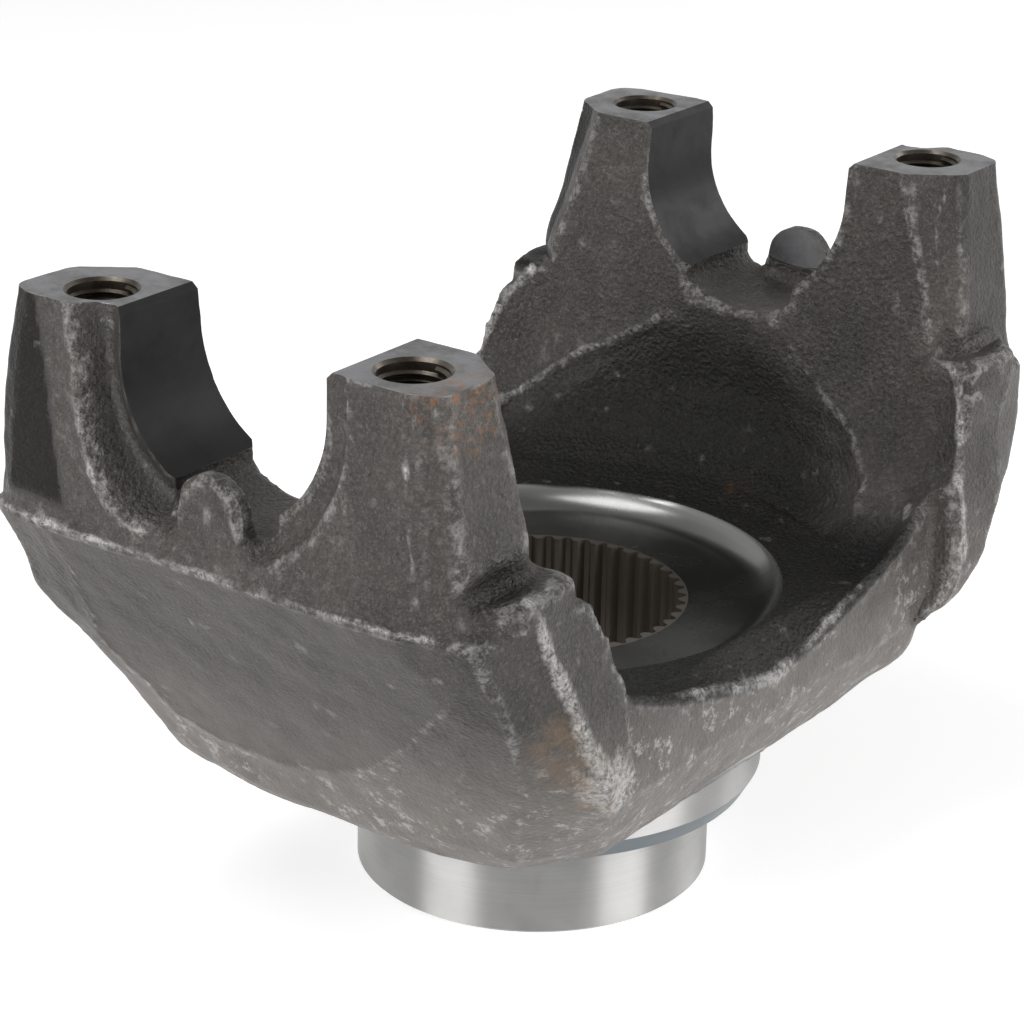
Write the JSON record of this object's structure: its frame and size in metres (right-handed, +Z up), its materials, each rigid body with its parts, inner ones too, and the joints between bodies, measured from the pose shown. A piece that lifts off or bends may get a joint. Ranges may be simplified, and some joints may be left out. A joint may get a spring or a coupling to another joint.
{
  "type": "half-round end yoke",
  "caption": "Half-round end yoke, a partly machined steel forging that joins a splined shaft to a universal joint.",
  "frame": {"origin": "centre of the hub's end face, at the bottom", "axes": "+Z up along the shaft axis, X through both ears along the bearing cups, Y across the ears"},
  "size_m": [0.202, 0.1284, 0.1369],
  "materials": {
    "forged_steel": "as-forged scale, with turned and milled faces"
  },
  "bodies": {
    "root": {"forged_yoke": "forged_steel"}
  },
  "joints": []
}
